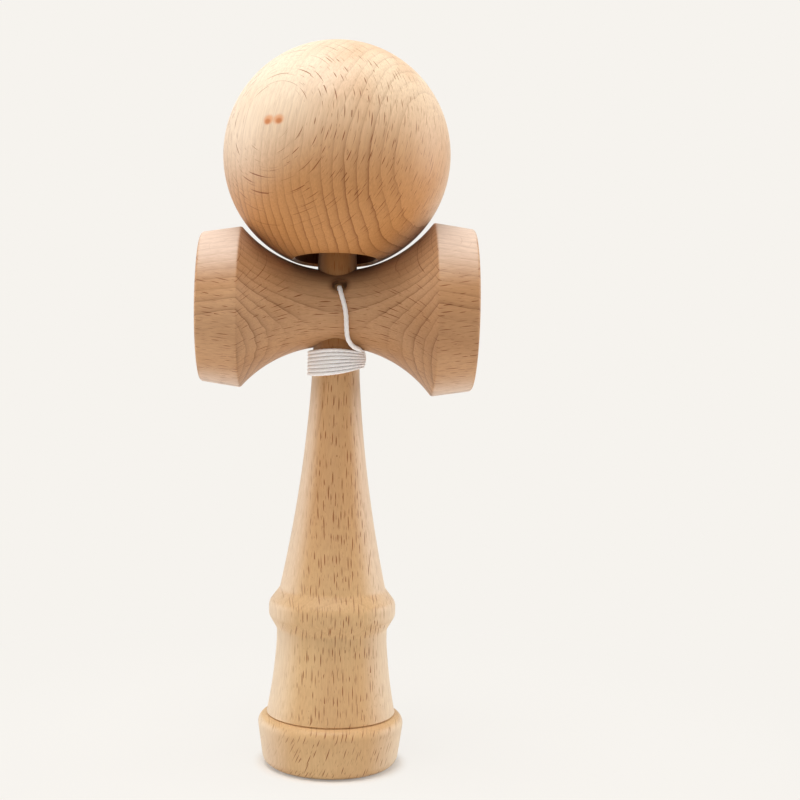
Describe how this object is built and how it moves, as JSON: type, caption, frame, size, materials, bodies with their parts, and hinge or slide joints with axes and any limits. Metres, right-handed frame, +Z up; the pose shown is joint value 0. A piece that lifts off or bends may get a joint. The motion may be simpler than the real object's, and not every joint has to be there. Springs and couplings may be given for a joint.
{
  "type": "kendama",
  "caption": "Wooden kendama: a turned handle with a spike and a base cup, a crosspiece with a big and a small cup, and a drilled ball on the spike, tied on by a string wound round the neck.",
  "frame": {"origin": "on the handle's axis, in the plane that the base stands on", "axes": "+Z up the handle to the spike, +X along the crosspiece to the big cup, +Y away from the side with the string hole"},
  "size_m": [0.072, 0.0616, 0.1922],
  "materials": {
    "handle_wood": "bare, finely sanded beech",
    "crosspiece_wood": "bare, finely sanded beech",
    "ball_wood": "bare, finely sanded beech",
    "bead_wood": "bare wood",
    "string": "white twisted string"
  },
  "bodies": {
    "ken": {"ken_handle": "handle_wood", "ken_knot": "string", "string_anchor": "string", "string_lead": "string", "string_winding": "string", "string_riser": "string"},
    "crosspiece": {"sarado_crosspiece": "crosspiece_wood", "string_rear": "string"},
    "swivel": {"string_bead": "bead_wood", "bead_knot": "string", "string_core": "string"},
    "ball": {"tama_ball": "ball_wood"}
  },
  "joints": [
    {"name": "crosspiece_pull", "type": "slide", "parent": "ken", "child": "crosspiece", "axis": [0, 0, 1], "range_m": [0, 0.06], "deforming": ["string_anchor", "string_lead", "string_riser"]},
    {"name": "ball_lift", "type": "slide", "parent": "crosspiece", "child": "swivel", "axis": [0, 0, 1], "range_m": [0, 0.06], "deforming": ["string_rear"]},
    {"name": "ball_spin", "type": "hinge", "parent": "swivel", "child": "ball", "pos_m": [-0.0006, 0, 0.16177], "axis": [0, 0.1045, 0.9945], "continuous": true}
  ]
}
